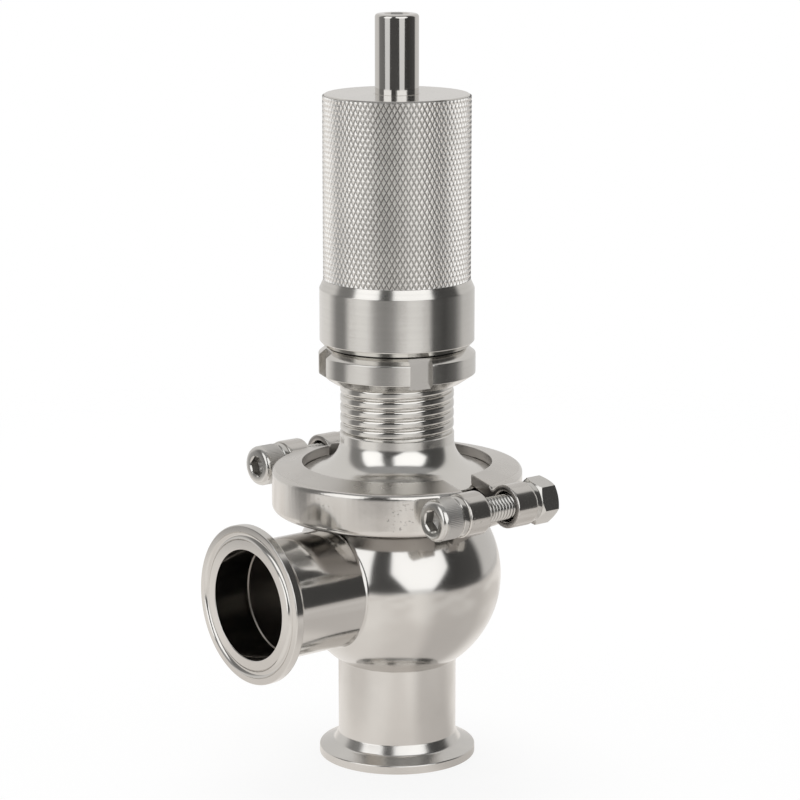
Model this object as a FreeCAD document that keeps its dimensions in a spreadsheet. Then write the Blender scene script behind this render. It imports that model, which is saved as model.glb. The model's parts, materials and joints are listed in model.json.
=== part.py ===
import FreeCAD, Part
import os
import Sketcher
from FreeCAD import Placement, Rotation, Vector

# Sanitary safety valve, 1.5 inch clamp ends, millimetres.
# Origin: centre of the inlet ferrule's face. +Z: along the spindle. The outlet points along -X.

DIMENSIONS = {
    # ends: 1.5 inch clamp ferrules, inlet and outlet alike
    "end_flange_radius": 25.25,
    "end_tube_radius": 19.05,
    "end_bore_radius": 17.55,
    "end_groove_radius": 21.9,
    "end_length": 36.0,
    # shape that all clamp ferrules share
    "rim_thickness": 2.85,
    "slope_rise": 0.364,
    "neck_gap": 1.6,
    "root_fillet": 1.4,
    "groove_round": 1.45,
    "groove_offset": 0.55,
    # ball body
    "centre_height": 59.8,
    "ball_radius": 33.5,
    "ball_wall": 2.5,
    # 2 inch joint between ball and bonnet, its middle above the ball's centre
    "joint_rise": 29.75,
    "joint_flange_radius": 32.0,
    "joint_tube_radius": 25.4,
    "joint_bore_radius": 23.9,
    "joint_groove_radius": 28.3,
    "joint_neck_length": 9.3,
    "gasket_thickness": 2.0,
    "gasket_bead_clearance": 0.1,
    "gasket_inset": 0.4,
    # clamp
    "clamp_outer_radius": 40.15,
    "clamp_opening_radius": 30.4,
    "clamp_half_height": 7.8,
    "clamp_edge_drop": 2.1,
    "clamp_fit": 0.05,
    "clamp_top_round": 1.6,
    "clamp_foot_round": 1.9,
    "clamp_channel_radius": 36.5,
    "clamp_gap_near": 5.5,
    "clamp_gap_far": 3.8,
    "barrel_radius": 6.9,
    "barrel_length": 8.2,
    "barrel_edge": 0.5,
    "bolt_offset": 46.0,
    "bolt_rise": 0.45,
    "lug_root": 37.0,
    "lug_half_height": 4.2,
    # M8 clamp fasteners
    "screw_radius": 4.0,
    "screw_hole_clearance": 0.8,
    "screw_hole_mouth": 0.4,
    "screw_length": 40.0,
    "screw_head_radius": 6.5,
    "screw_head_height": 8.0,
    "screw_head_edge": 0.7,
    "screw_socket_width": 6.0,
    "screw_socket_depth": 4.0,
    "washer_radius": 6.4,
    "washer_thickness": 2.1,
    "nut_width": 13.0,
    "nut_height": 6.8,
    "nut_bore_clearance": 0.05,
    # bonnet, its neck ending inside the cap
    "neck_radius": 17.35,
    "neck_wall": 4.0,
    "neck_reach": 30.0,
    "flare_start_radius": 26.6,
    "flare_rise": 10.4,
    "flare_round": 13.5,
    "web_thickness": 7.05,
    "thread_clearance": 0.05,
    # guide bush and its seal
    "bush_radius": 10.0,
    "bush_collar_radius": 12.0,
    "bush_collar_thickness": 1.6,
    "running_clearance": 0.05,
    "seal_section_radius": 1.3,
    # lock nut, its foot above the bonnet's foot
    "lock_rise": 33.05,
    "lock_height": 12.3,
    "lock_radius": 25.0,
    "lock_foot_radius": 20.7,
    "lock_foot_rise": 2.95,
    "lock_wall_height": 6.3,
    "lock_top_radius": 24.3,
    "lock_slot_width": 7.4,
    "lock_slot_floor": 22.4,
    "lock_slot_azimuth": 69.0,
    # adjusting cap
    "cap_seat_gap": 0.1,
    "band_radius": 24.6,
    "band_height": 17.6,
    "band_edge": 0.9,
    "band_chamfer_rise": 3.0,
    "grip_radius": 23.2,
    "cap_height": 78.9,
    "cap_thread_length": 26.0,
    "cap_chamber_radius": 18.8,
    "cap_lid": 7.2,
    "cap_top_edge": 0.5,
    # spindle, its stem standing out of the cap
    "stem_radius": 6.9,
    "stem_stand": 24.9,
    "stem_edge": 1.0,
    "stem_hole_radius": 3.4,
    "stem_hole_depth": 14.0,
    "stem_hole_mouth": 0.7,
    "shank_radius": 6.0,
    "shank_end_radius": 5.0,
    # spring and its seats
    "ring_clearance": 1.7,
    "spring_seat_thickness": 3.0,
    "spring_seat_radius": 12.0,
    "spring_seat_spigot": 8.2,
    "spring_spigot_height": 3.0,
    "thrust_thickness": 1.5,
    "top_seat_radius": 14.5,
    "wire_radius": 1.6,
    "coil_radius": 10.2,
    "coil_turns": 7.0,
    "spring_end_gap": 0.1,
    "ring_thickness": 1.5,
    "ring_reach": 2.6,
    "ring_depth": 0.6,
    # seat and disc
    "seat_bore_radius": 16.0,
    "seat_rise": 4.0,
    "seat_spigot": 12.0,
    "seat_face_width": 2.4,
    "seat_socket_radius": 18.05,
    "seat_fit": 0.05,
    "disc_gap": 0.3,
    "disc_radius": 18.6,
    "disc_thickness": 3.4,
    "disc_boss_radius": 9.0,
    "disc_boss_height": 8.0,
    "disc_floor": 1.5,
    "wing_length": 12.5,
    "wing_thickness": 3.0,
    "wing_clearance": 0.1,
    "disc_seal_radius": 0.9,
    "disc_nut_width": 17.0,
    "disc_nut_height": 5.0,
}

doc = FreeCAD.newDocument("safety_valve")
sheet = doc.addObject("Spreadsheet::Sheet", "dims")
for row, (alias, number) in enumerate(DIMENSIONS.items(), start=1):
    sheet.set(f"A{row}", alias)
    sheet.set(f"B{row}", str(number))
    sheet.setAlias(f"B{row}", alias)
doc.recompute()


class Size:
    """A length worked out from the sheet: its number and the formula that gives it."""

    def __init__(self, number, formula):
        self.number = number
        self.formula = formula

    def _join(self, other, sign, result):
        formula = other.formula if isinstance(other, Size) else repr(float(other))
        return Size(result, f"({self.formula} {sign} {formula})")

    def __add__(self, other):
        return self._join(other, "+", self.number + plain(other))

    def __sub__(self, other):
        return self._join(other, "-", self.number - plain(other))

    def __mul__(self, other):
        return self._join(other, "*", self.number * plain(other))

    def __truediv__(self, other):
        return self._join(other, "/", self.number / plain(other))


def plain(value):
    return value.number if isinstance(value, Size) else float(value)


def dim(alias):
    return Size(float(DIMENSIONS[alias]), f"dims.{alias}")


def bind(feature, prop, size):
    setattr(feature, prop, size.number)
    feature.setExpression(prop, size.formula)


# Bodies, sketches and features

def new_body(label):
    body = doc.addObject("PartDesign::Body", label)
    body.Label = label
    return body


def origin_plane(body, role):
    return next(item for item in body.Origin.OriginFeatures if item.Role == role)


def new_sketch(body, name, role, lift=None, lift_sign=1.0):
    """A sketch on one of the body's origin planes, lifted along that plane's normal."""
    sketch = body.newObject("Sketcher::SketchObject", name)
    sketch.AttachmentSupport = [(origin_plane(body, role), "")]
    sketch.MapMode = "FlatFace"
    if lift is not None:
        sketch.AttachmentOffset = Placement(Vector(0, 0, lift_sign * lift.number), Rotation())
        sketch.setExpression("AttachmentOffset.Base.z", f"{lift_sign} * {lift.formula}")
    return sketch


def place_point(sketch, edge, end, across, up):
    """Fixes one end of a sketch edge at its two coordinates, which follow the sheet."""
    for kind, size, axis in (("DistanceX", across, -2), ("DistanceY", up, -1)):
        if abs(size.number) < 1e-9:
            sketch.addConstraint(Sketcher.Constraint("PointOnObject", edge, end, axis))
            continue
        index = sketch.addConstraint(Sketcher.Constraint(kind, -1, 1, edge, end, size.number))
        sketch.setExpression(f"Constraints[{index}]", size.formula)


def arc_between(start, end, radius, side):
    """The arc of the given radius from start to end, bulging to the side (+1 left, -1 right)."""
    chord = end - start
    middle = (start + end) * 0.5
    across = Vector(-chord.y, chord.x, 0).normalize()
    reach = (radius ** 2 - (chord.Length / 2) ** 2) ** 0.5
    crown = middle + across * side * (radius - reach)
    return Part.Arc(start, crown, end)


def draw_outline(sketch, corners):
    """A closed outline. A corner is (across, up) or, where an arc starts, (across, up, radius, side)."""
    count = len(corners)
    spots = [Vector(c[0].number, c[1].number, 0) for c in corners]
    ends = []
    for i, corner in enumerate(corners):
        start, end = spots[i], spots[(i + 1) % count]
        if len(corner) == 4:
            arc = arc_between(start, end, corner[2].number, corner[3])
            edge = sketch.addGeometry(arc, False)
            radius = sketch.addConstraint(Sketcher.Constraint("Radius", edge, corner[2].number))
            sketch.setExpression(f"Constraints[{radius}]", corner[2].formula)
            first_is_start = sketch.getPoint(edge, 1).distanceToPoint(start) < 1e-6
            ends.append((1, 2) if first_is_start else (2, 1))
        else:
            sketch.addGeometry(Part.LineSegment(start, end), False)
            ends.append((1, 2))
    for i, corner in enumerate(corners):
        following = (i + 1) % count
        joined = Sketcher.Constraint("Coincident", i, ends[i][1], following, ends[following][0])
        sketch.addConstraint(joined)
        place_point(sketch, i, ends[i][0], corner[0], corner[1])


def revolve(body, name, corners):
    """Turns a (radius, height) outline about the body's own Z axis."""
    sketch = new_sketch(body, name + "_outline", "XZ_Plane")
    draw_outline(sketch, corners)
    feature = body.newObject("PartDesign::Revolution", name)
    feature.Profile = sketch
    feature.ReferenceAxis = (sketch, ["V_Axis"])
    feature.Angle = 360.0
    doc.recompute()
    return feature


def circle_in(sketch, across, up, radius):
    circle = Part.Circle(Vector(across.number, up.number, 0), Vector(0, 0, 1), radius.number)
    edge = sketch.addGeometry(circle)
    place_point(sketch, edge, 3, across, up)
    index = sketch.addConstraint(Sketcher.Constraint("Radius", edge, radius.number))
    sketch.setExpression(f"Constraints[{index}]", radius.formula)


def ring_groove(body, name, across, up, radius):
    """Cuts a round-bottomed ring groove about the body's own axis, and checks that it cut."""
    before = body.Shape.Volume
    sketch = new_sketch(body, name + "_outline", "XZ_Plane")
    circle_in(sketch, across, up, radius)
    feature = body.newObject("PartDesign::Groove", name)
    feature.Profile = sketch
    feature.ReferenceAxis = (sketch, ["V_Axis"])
    feature.Angle = 360.0
    doc.recompute()
    assert body.Shape.Volume < before, name
    return feature


def round_edges(body, name, kind, size, wanted):
    """Fillets or chamfers the ring edges named by (radius, height)."""
    names = []
    for index, edge in enumerate(body.Tip.Shape.Edges, start=1):
        if not isinstance(edge.Curve, Part.Circle):
            continue
        for radius, height in wanted:
            same = abs(edge.Curve.Radius - radius.number) < 1e-4
            if same and abs(edge.Curve.Center.z - height.number) < 1e-4:
                names.append(f"Edge{index}")
    assert names, name
    feature = body.newObject(f"PartDesign::{kind}", name)
    feature.Base = (body.Tip if body.Tip is not feature else feature.BaseFeature, names)
    bind(feature, "Radius" if kind == "Fillet" else "Size", size)
    doc.recompute()
    return feature


def pad(body, name, sketch, length, reversed_way=False):
    feature = body.newObject("PartDesign::Pad", name)
    feature.Profile = sketch
    bind(feature, "Length", length)
    feature.Reversed = reversed_way
    doc.recompute()
    return feature


def pocket(body, name, sketch, length=None, midplane=False, reversed_way=False):
    """Cuts to a length, or through everything, and checks that it cut."""
    before = body.Shape.Volume
    feature = body.newObject("PartDesign::Pocket", name)
    feature.Profile = sketch
    feature.Midplane = midplane
    feature.Reversed = reversed_way
    if length is None:
        feature.Type = 1
    else:
        bind(feature, "Length", length)
    doc.recompute()
    assert body.Shape.Volume < before, name
    return feature


def hexagon(sketch, across_flats):
    """A regular hexagon about the sketch origin, with two flats level."""
    half = across_flats / 2
    corner = across_flats / 3 ** 0.5
    shift = corner / 2
    draw_outline(sketch, [(corner, ZERO), (shift, half), (ZERO - shift, half),
                          (ZERO - corner, ZERO), (ZERO - shift, ZERO - half), (shift, ZERO - half)])


def rectangle(sketch, left, right, bottom, top):
    draw_outline(sketch, [(left, bottom), (right, bottom), (right, top), (left, top)])


ZERO = Size(0.0, "0.0")


# Clamp ferrule, face at height 0, tube rising from it

def ferrule(label, flange, tube, bore, groove, length):
    body = new_body(label)
    rim = dim("rim_thickness")
    neck = tube + dim("neck_gap")
    slope_end = rim + (flange - neck) * dim("slope_rise")
    root = slope_end + dim("neck_gap")
    revolve(body, "turned_blank", [
        (bore, ZERO), (flange, ZERO), (flange, rim), (neck, slope_end),
        (tube, root), (tube, length), (bore, length)])
    ring_groove(body, "gasket_groove", groove, ZERO - dim("groove_offset"), dim("groove_round"))
    round_edges(body, "neck_root", "Fillet", dim("root_fillet"), [(neck, slope_end)])
    return body


def end_ferrule(label):
    return ferrule(label, dim("end_flange_radius"), dim("end_tube_radius"), dim("end_bore_radius"),
                   dim("end_groove_radius"), dim("end_length"))


inlet_ferrule = end_ferrule("inlet_ferrule")
socket_sketch = new_sketch(inlet_ferrule, "seat_socket_outline", "XY_Plane", dim("end_length"))
circle_in(socket_sketch, ZERO, ZERO, dim("seat_socket_radius"))
pocket(inlet_ferrule, "seat_socket", socket_sketch, dim("seat_spigot"))

outlet_ferrule = end_ferrule("outlet_ferrule")
outlet_ferrule.Placement = Placement(Vector(-dim("centre_height").number, 0, dim("centre_height").number),
                                     Rotation(Vector(0, 1, 0), 90))
outlet_ferrule.setExpression("Placement.Base.x", "-dims.centre_height")
outlet_ferrule.setExpression("Placement.Base.z", "dims.centre_height")

# Heights, each counted from the piece below it

joint_middle = dim("centre_height") + dim("joint_rise")
joint_lower = joint_middle - dim("gasket_thickness") / 2
joint_upper = joint_middle + dim("gasket_thickness") / 2
bolt_height = joint_middle + dim("bolt_rise")
web_top = joint_upper + dim("web_thickness")
collar_top = web_top + dim("bush_collar_thickness")
ring_foot = collar_top + dim("ring_clearance")
bottom_seat_foot = ring_foot + dim("ring_thickness")
spring_bottom = bottom_seat_foot + dim("spring_seat_thickness")
lock_bottom = joint_upper + dim("lock_rise")
lock_top = lock_bottom + dim("lock_height")
cap_foot = lock_top + dim("cap_seat_gap")
neck_top = cap_foot + dim("neck_reach")
cap_top = cap_foot + dim("cap_height")
lid_under = cap_top - dim("cap_lid")
stem_top = cap_top + dim("stem_stand")


# Lower half of the joint, under the ball's gasket

top_ferrule = ferrule("top_ferrule", dim("joint_flange_radius"), dim("joint_tube_radius"),
                      dim("joint_bore_radius"), dim("joint_groove_radius"), dim("joint_neck_length"))
top_ferrule.Placement = Placement(Vector(0, 0, joint_lower.number), Rotation(Vector(1, 0, 0), 180))
top_ferrule.setExpression("Placement.Base.z", joint_lower.formula)


# Ball body: a thin sphere, bored for the two end tubes and the neck tube

def primitive(kind, name, sizes):
    feature = doc.addObject(f"Part::{kind}", name)
    for prop, size in sizes.items():
        bind(feature, prop, size)
    return feature


def raise_to(feature, height):
    feature.Placement.Base.z = height.number
    feature.setExpression("Placement.Base.z", height.formula)


def ball_body():
    outer = primitive("Sphere", "ball_outside", {"Radius": dim("ball_radius")})
    inner = primitive("Sphere", "ball_inside", {"Radius": dim("ball_radius") - dim("ball_wall")})
    for sphere in (outer, inner):
        raise_to(sphere, dim("centre_height"))
    inlet_hole = primitive("Cylinder", "inlet_hole",
                           {"Radius": dim("end_tube_radius"), "Height": dim("centre_height")})
    neck_hole = primitive("Cylinder", "neck_hole",
                          {"Radius": dim("joint_tube_radius"), "Height": dim("centre_height")})
    raise_to(neck_hole, dim("centre_height"))
    outlet_hole = primitive("Cylinder", "outlet_hole",
                            {"Radius": dim("end_tube_radius"), "Height": dim("centre_height")})
    outlet_hole.Placement = Placement(Vector(0, 0, 0), Rotation(Vector(0, 1, 0), -90))
    raise_to(outlet_hole, dim("centre_height"))
    cutters = doc.addObject("Part::MultiFuse", "ball_openings")
    cutters.Shapes = [inner, inlet_hole, neck_hole, outlet_hole]
    ball = doc.addObject("Part::Cut", "ball_body")
    ball.Base = outer
    ball.Tool = cutters
    ball.Label = "ball_body"
    doc.recompute()
    return ball


ball = ball_body()


# Seat ring: a spigot in the inlet tube, a rim on its end, a 45 degree face that the disc closes on

seat_foot = dim("end_length")
seat_top = seat_foot + dim("seat_rise")
valve_seat = new_body("valve_seat")
revolve(valve_seat, "turned_ring", [
    (dim("seat_bore_radius"), seat_foot - dim("seat_spigot")),
    (dim("seat_socket_radius") - dim("seat_fit"), seat_foot - dim("seat_spigot")),
    (dim("seat_socket_radius") - dim("seat_fit"), seat_foot),
    (dim("end_tube_radius"), seat_foot),
    (dim("end_tube_radius"), seat_top),
    (dim("seat_bore_radius") + dim("seat_face_width"), seat_top),
    (dim("seat_bore_radius"), seat_top - dim("seat_face_width"))])


# Bonnet: clamp flange, mirror flare and the web that holds the guide bush. The neck tube with the
# adjusting thread is welded to the flare's end.

rim_top = joint_upper + dim("rim_thickness")
slope_end = rim_top + (dim("joint_flange_radius") - dim("flare_start_radius")) * dim("slope_rise")
flare_end = slope_end + dim("flare_rise")
chamber = dim("neck_radius") - dim("neck_wall")

bonnet = new_body("bonnet")
revolve(bonnet, "turned_blank", [
    (dim("bush_radius"), joint_upper),
    (dim("joint_flange_radius"), joint_upper),
    (dim("joint_flange_radius"), rim_top),
    (dim("flare_start_radius"), slope_end, dim("flare_round"), 1),
    (dim("neck_radius"), flare_end),
    (chamber, flare_end),
    (chamber, web_top),
    (dim("bush_radius"), web_top)])
ring_groove(bonnet, "gasket_groove", dim("joint_groove_radius"), joint_upper - dim("groove_offset"),
            dim("groove_round"))

bonnet_neck = new_body("bonnet_neck")
revolve(bonnet_neck, "threaded_tube", [
    (chamber, flare_end), (dim("neck_radius"), flare_end),
    (dim("neck_radius"), neck_top), (chamber, neck_top)])


# Gasket between ball and bonnet, with the round bead that centres it in both grooves

def gasket():
    body = new_body("bonnet_gasket")
    revolve(body, "flat_ring", [
        (dim("joint_bore_radius"), joint_lower),
        (dim("joint_flange_radius") - dim("gasket_inset"), joint_lower),
        (dim("joint_flange_radius") - dim("gasket_inset"), joint_upper),
        (dim("joint_bore_radius"), joint_upper)])
    for side, centre in (("lower", joint_lower + dim("groove_offset")),
                         ("upper", joint_upper - dim("groove_offset"))):
        sketch = new_sketch(body, side + "_bead_outline", "XZ_Plane")
        circle_in(sketch, dim("joint_groove_radius"), centre,
                  dim("groove_round") - dim("gasket_bead_clearance"))
        bead = body.newObject("PartDesign::Revolution", side + "_bead")
        bead.Profile = sketch
        bead.ReferenceAxis = (sketch, ["V_Axis"])
        bead.Angle = 360.0
        doc.recompute()
    return body


bonnet_gasket = gasket()


# Clamp half: ring with a deep V channel and a sloping top, cut to one side, with a bored barrel
# at each end. The screw on the far side, +Y, is tightened more, so the halves are closer there.

def clamp_half(label, mirrored):
    body = new_body(label)
    middle = joint_middle
    outer = dim("clamp_outer_radius")
    opening = dim("clamp_opening_radius")
    channel = dim("clamp_channel_radius")
    rim_half = dim("gasket_thickness") / 2 + dim("rim_thickness") + dim("clamp_fit")
    lip_half = rim_half + (dim("joint_flange_radius") - opening) * dim("slope_rise")
    channel_half = rim_half - (channel - dim("joint_flange_radius")) * dim("slope_rise")
    high = dim("clamp_half_height")
    shoulder = high - dim("clamp_edge_drop")
    revolve(body, "v_ring", [
        (opening, middle + lip_half), (channel, middle + channel_half),
        (channel, middle - channel_half), (opening, middle - lip_half),
        (opening, middle - high), (outer, middle - high),
        (outer, middle + shoulder), (opening, middle + high)])
    reach = dim("bolt_offset") + dim("barrel_radius")
    gaps = [dim("clamp_gap_near"), dim("clamp_gap_far")]
    if mirrored:
        gaps.reverse()
    split = new_sketch(body, "split_outline", "XY_Plane")
    draw_outline(split, [
        (ZERO - gaps[0], ZERO - outer * 2), (outer * 2, ZERO - outer * 2), (outer * 2, outer * 2),
        (ZERO - gaps[1], outer * 2), (ZERO - gaps[1], ZERO), (ZERO - gaps[0], ZERO)])
    pocket(body, "split", split, middle * 2, reversed_way=True)
    # lugs: a cast web out of the ring and the barrel that takes the screw
    for side, sign, gap in (("first", -1.0, gaps[0]), ("second", 1.0, gaps[1])):
        web = new_sketch(body, side + "_web_outline", "YZ_Plane", gap, -1.0)
        inner, outside = dim("lug_root") * sign, dim("bolt_offset") * sign
        half = dim("lug_half_height")
        rectangle(web, inner, outside, bolt_height - half, bolt_height + half)
        pad(body, side + "_web", web, dim("barrel_length"), reversed_way=True)
        barrel = new_sketch(body, side + "_barrel_outline", "YZ_Plane", gap, -1.0)
        circle_in(barrel, outside, bolt_height, dim("barrel_radius"))
        pad(body, side + "_barrel", barrel, dim("barrel_length"), reversed_way=True)
    holes = new_sketch(body, "screw_holes_outline", "YZ_Plane")
    for sign in (-1.0, 1.0):
        circle_in(holes, dim("bolt_offset") * sign, bolt_height,
                  dim("screw_radius") + dim("screw_hole_clearance"))
    pocket(body, "screw_holes", holes, reach, reversed_way=False)
    round_edges(body, "top_edge", "Fillet", dim("clamp_top_round"), [(outer, middle + shoulder)])
    round_edges(body, "foot_edge", "Fillet", dim("clamp_foot_round"), [(outer, middle - high)])
    round_edges(body, "screw_hole_mouths", "Chamfer", dim("screw_hole_mouth"),
                [(dim("screw_radius") + dim("screw_hole_clearance"), bolt_height)])
    round_edges(body, "barrel_edges", "Fillet", dim("barrel_edge"), [(dim("barrel_radius"), bolt_height)])
    if mirrored:
        body.Placement = Placement(Vector(0, 0, 0), Rotation(Vector(0, 0, 1), 180))
    return body


clamp_half_outlet_side = clamp_half("clamp_half_outlet_side", False)
clamp_half_rear = clamp_half("clamp_half_rear", True)


# Clamp fasteners, drawn about their own Z axis and laid along X at each barrel

def lay_along_x(body, side, start):
    """Turns a fastener's own +Z to +X, with its foot at the given X, in the barrel on one side."""
    body.Placement = Placement(
        Vector(start.number, side * dim("bolt_offset").number, bolt_height.number),
        Rotation(Vector(0, 1, 0), 90))
    body.setExpression("Placement.Base.x", start.formula)
    body.setExpression("Placement.Base.y", f"{side} * dims.bolt_offset")
    body.setExpression("Placement.Base.z", bolt_height.formula)


def group(label, members):
    compound = doc.addObject("Part::Compound", label)
    compound.Label = label
    compound.Links = members
    return compound


def cap_screw(name):
    body = new_body(name)
    head = dim("screw_head_radius")
    tall = dim("screw_head_height")
    edge = dim("screw_head_edge")
    end = tall + dim("screw_length")
    revolve(body, "turned_blank", [
        (ZERO, ZERO), (head - edge, ZERO), (head, edge), (head, tall), (dim("screw_radius"), tall),
        (dim("screw_radius"), end - edge), (dim("screw_radius") - edge, end), (ZERO, end)])
    socket = new_sketch(body, "socket_outline", "XY_Plane")
    hexagon(socket, dim("screw_socket_width"))
    pocket(body, "socket", socket, dim("screw_socket_depth"), reversed_way=True)
    return body


def plain_ring(name, bore, outside, height):
    body = new_body(name)
    revolve(body, "ring", [(bore, ZERO), (outside, ZERO), (outside, height), (bore, height)])
    return body


def hex_nut(name, width, height, bore):
    body = new_body(name)
    outline = new_sketch(body, "hexagon_outline", "XY_Plane")
    hexagon(outline, width)
    pad(body, "hexagon", outline, height)
    hole = new_sketch(body, "bore_outline", "XY_Plane")
    circle_in(hole, ZERO, ZERO, bore)
    pocket(body, "bore", hole, height, reversed_way=True)
    return body


washer_bore = dim("screw_radius") + dim("nut_bore_clearance")
fasteners = {"clamp_screws": [], "head_washers": [], "nut_washers": [], "clamp_nuts": []}
for side, sign in (("near", -1.0), ("far", 1.0)):
    barrel_end = dim("clamp_gap_" + side) + dim("barrel_length")
    washer_end = barrel_end + dim("washer_thickness")
    screw = cap_screw(side + "_screw")
    lay_along_x(screw, sign, ZERO - washer_end - dim("screw_head_height"))
    fasteners["clamp_screws"].append(screw)
    for node, start in (("head_washers", ZERO - washer_end), ("nut_washers", barrel_end)):
        washer = plain_ring(f"{side}_{node}", washer_bore, dim("washer_radius"), dim("washer_thickness"))
        lay_along_x(washer, sign, start)
        fasteners[node].append(washer)
    nut = hex_nut(side + "_nut", dim("nut_width"), dim("nut_height"), washer_bore)
    lay_along_x(nut, sign, washer_end)
    fasteners["clamp_nuts"].append(nut)
fastener_groups = [group(label, members) for label, members in fasteners.items()]


# Guide bush with an inner groove for the spindle seal

running = dim("running_clearance")
bush_bore = dim("shank_radius") + running
guide_bush = new_body("guide_bush")
revolve(guide_bush, "turned_bush", [
    (bush_bore, joint_upper), (dim("bush_radius"), joint_upper), (dim("bush_radius"), web_top),
    (dim("bush_collar_radius"), web_top), (dim("bush_collar_radius"), collar_top),
    (bush_bore, collar_top)])
seal_centre = bush_bore + dim("seal_section_radius")
seal_height = joint_upper + dim("web_thickness") / 2
ring_groove(guide_bush, "seal_groove", seal_centre, seal_height, dim("seal_section_radius") + running)

stem_seal = new_body("stem_seal")
seal_sketch = new_sketch(stem_seal, "section_outline", "XZ_Plane")
circle_in(seal_sketch, seal_centre, seal_height, dim("seal_section_radius"))
seal_ring = stem_seal.newObject("PartDesign::Revolution", "o_ring")
seal_ring.Profile = seal_sketch
seal_ring.ReferenceAxis = (seal_sketch, ["V_Axis"])
seal_ring.Angle = 360.0
doc.recompute()


# Lock nut with four spanner slots

def lock_nut_body():
    body = new_body("lock_nut")
    bore = dim("neck_radius") + dim("thread_clearance")
    wall_foot = lock_bottom + dim("lock_foot_rise")
    wall_top = wall_foot + dim("lock_wall_height")
    revolve(body, "turned_blank", [
        (bore, lock_bottom), (dim("lock_foot_radius"), lock_bottom),
        (dim("lock_radius"), wall_foot), (dim("lock_radius"), wall_top),
        (dim("lock_top_radius"), lock_top), (bore, lock_top)])
    slot = new_sketch(body, "slot_outline", "XY_Plane")
    half = dim("lock_slot_width") / 2
    rectangle(slot, dim("lock_slot_floor"), dim("lock_radius") * 2, ZERO - half, half)
    cut = pocket(body, "slot", slot, lock_top * 2, reversed_way=True)
    pattern = body.newObject("PartDesign::PolarPattern", "four_slots")
    pattern.Originals = [cut]
    pattern.Axis = (slot, ["N_Axis"])
    pattern.Angle = 360.0
    pattern.Occurrences = 4
    body.Tip = pattern
    doc.recompute()
    body.Placement = Placement(Vector(0, 0, 0), Rotation(Vector(0, 0, 1), DIMENSIONS["lock_slot_azimuth"]))
    body.setExpression("Placement.Rotation.Angle", "dims.lock_slot_azimuth")
    return body


lock_nut = lock_nut_body()


# Adjusting cap: smooth band, knurled grip, lid that guides the spindle

adjusting_cap = new_body("adjusting_cap")
band_top = cap_foot + dim("band_height")
thread_end = cap_foot + dim("cap_thread_length")
cap_bore = dim("neck_radius") + dim("thread_clearance")
lid_bore = dim("stem_radius") + running
revolve(adjusting_cap, "turned_cap", [
    (cap_bore, cap_foot),
    (dim("band_radius") - dim("band_edge"), cap_foot),
    (dim("band_radius"), cap_foot + dim("band_edge")),
    (dim("band_radius"), band_top),
    (dim("grip_radius"), band_top + dim("band_chamfer_rise")),
    (dim("grip_radius"), cap_top - dim("cap_top_edge")),
    (dim("grip_radius") - dim("cap_top_edge"), cap_top),
    (lid_bore, cap_top), (lid_bore, lid_under),
    (dim("cap_chamber_radius"), lid_under), (dim("cap_chamber_radius"), thread_end),
    (cap_bore, thread_end)])


# Spring pack: thrust washer and upper seat under the lid, lower seat on a ring in the spindle

thrust_foot = lid_under - dim("thrust_thickness")
thrust_washer = plain_ring("thrust_washer", lid_bore, dim("top_seat_radius"), dim("thrust_thickness"))
raise_to(thrust_washer, thrust_foot)

top_seat_foot = thrust_foot - dim("spring_seat_thickness")
spigot_foot = top_seat_foot - dim("spring_spigot_height")
spring_top_seat = new_body("spring_top_seat")
revolve(spring_top_seat, "turned_seat", [
    (lid_bore, spigot_foot), (dim("spring_seat_spigot"), spigot_foot),
    (dim("spring_seat_spigot"), top_seat_foot), (dim("top_seat_radius"), top_seat_foot),
    (dim("top_seat_radius"), thrust_foot), (lid_bore, thrust_foot)])

spring_bottom_seat = new_body("spring_bottom_seat")
revolve(spring_bottom_seat, "turned_seat", [
    (dim("shank_radius"), bottom_seat_foot), (dim("spring_seat_radius"), bottom_seat_foot),
    (dim("spring_seat_radius"), spring_bottom), (dim("shank_radius"), spring_bottom)])

ring_bore = dim("shank_radius") - dim("ring_depth")
retaining_ring = plain_ring("retaining_ring", ring_bore, ring_bore + dim("ring_reach"), dim("ring_thickness"))
raise_to(retaining_ring, ring_foot)


# Spring: round wire on a helix of even pitch, held between the two seats

def spring_solid():
    wire_radius = dim("wire_radius").number
    coil = dim("coil_radius").number
    turns = dim("coil_turns").number
    gap = dim("spring_end_gap").number
    start = spring_bottom.number + gap + wire_radius
    end = top_seat_foot.number - gap - wire_radius
    helix = Part.makeHelix((end - start) / turns, end - start, coil)
    section = Part.Wire([Part.makeCircle(wire_radius, Vector(coil, 0, 0), Vector(0, 1, 0))])
    solid = Part.Wire(helix.Edges).makePipeShell([section], True, True)
    feature = doc.addObject("Part::Feature", "spring")
    feature.Shape = solid
    feature.Label = "spring"
    feature.Placement = Placement(Vector(0, 0, start), Rotation())
    return feature


spring = spring_solid()


# Disc: boss on the spindle's end, conical face with a soft ring, three wings that guide it in the seat

cone_top_radius = dim("seat_bore_radius") + dim("seat_face_width")
disc_foot = seat_top - dim("seat_face_width") + dim("disc_gap")
disc_face = seat_top + dim("disc_gap")
disc_top = disc_face + dim("disc_thickness")
boss_top = disc_top + dim("disc_boss_height")
tapped_foot = disc_top - dim("disc_floor")


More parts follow.
